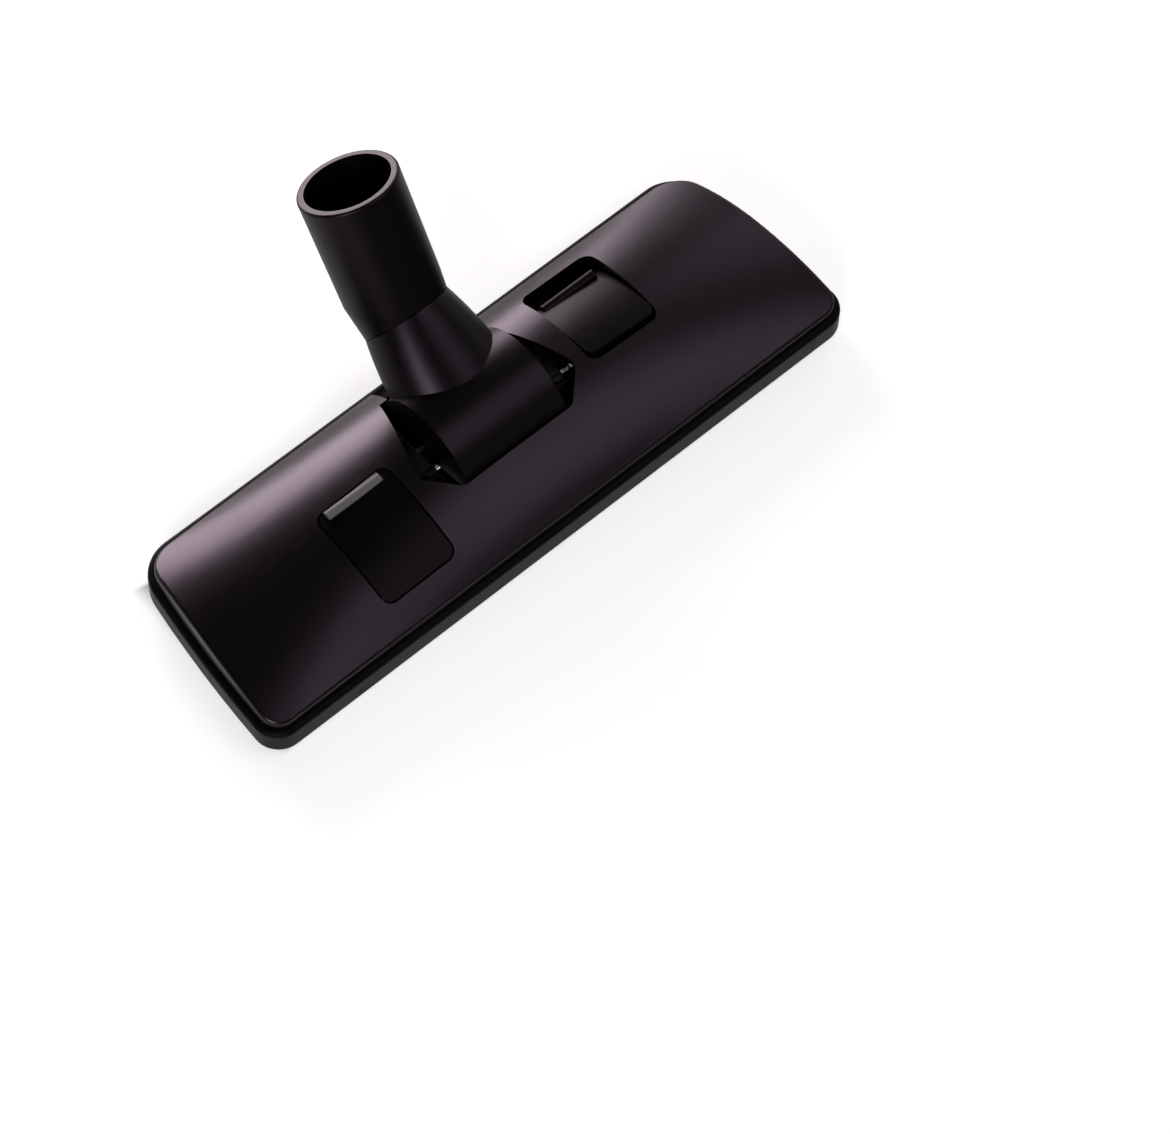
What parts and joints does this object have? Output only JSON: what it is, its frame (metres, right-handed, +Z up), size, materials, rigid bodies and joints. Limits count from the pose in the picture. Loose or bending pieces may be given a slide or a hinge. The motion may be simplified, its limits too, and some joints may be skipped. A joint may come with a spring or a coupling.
{
  "type": "vacuum floor head",
  "caption": "Wide floor head with a crowned cover, soft bumper, steel sole plate, brush strips lowered by a rocker pedal, and a tilting neck with a swivelling pipe socket.",
  "frame": {"origin": "on the floor, below the middle of the whole box, with the neck and the tube at rest", "axes": "+X along the head to its right end, +Y to the rear where the pipe neck leaves, +Z up"},
  "size_m": [0.2694, 0.135, 0.1023],
  "materials": {
    "cover": "satin plum-black",
    "tray": "matt black",
    "bumper": "matt black",
    "plate": "polished",
    "pile": "crimson velvet pile",
    "screw": "zinc plated",
    "pedal": "satin plum-black",
    "spring": "bright spring steel",
    "carrier": "matt grey",
    "neck": "satin plum-black",
    "seal": "matt black",
    "bristle": "nylon bristle"
  },
  "bodies": {
    "head": {"top_cover": "cover", "base_tray": "tray", "bumper_strip": "bumper", "sole_plate": "plate", "front_lint_strip": "pile", "rear_lint_strip": "pile", "sole_screws": "screw", "rocker_pins": "screw", "detent_spring": "spring", "left_bearing_cap": "tray", "right_bearing_cap": "tray", "bearing_cap_screws": "screw", "front_wiper": "seal", "rear_wiper": "seal"},
    "neck": {"neck_elbow": "neck", "swivel_clip": "spring", "swivel_seal": "seal"},
    "tube": {"swivel_tube": "neck"},
    "rocker": {"rocker_pedal": "pedal"},
    "carrier": {"brush_carrier": "carrier", "left_front_brush": "bristle", "left_rear_brush": "bristle", "right_front_brush": "bristle", "right_rear_brush": "bristle"}
  },
  "joints": [
    {"name": "neck_tilt", "type": "hinge", "parent": "head", "child": "neck", "pos_m": [0, -0.01703, 0.02], "axis": [1, 0, 0], "range_deg": [0, 50]},
    {"name": "tube_swivel", "type": "hinge", "parent": "neck", "child": "tube", "pos_m": [0, 0.02113, 0.04478], "axis": [0, 0.8387, 0.5446], "continuous": true},
    {"name": "rocker_tilt", "type": "hinge", "parent": "head", "child": "rocker", "pos_m": [0, -0.02353, 0.026], "axis": [1, 0, 0], "range_deg": [0, 12], "deforming": ["detent_spring"]},
    {"name": "brush_lift", "type": "slide", "parent": "head", "child": "carrier", "axis": [0, 0, 1], "range_m": [-0.00646, 0]}
  ],
  "couplings": [
    {"joint": "brush_lift", "follows": "rocker_tilt", "m_per_rad": -0.03083}
  ]
}
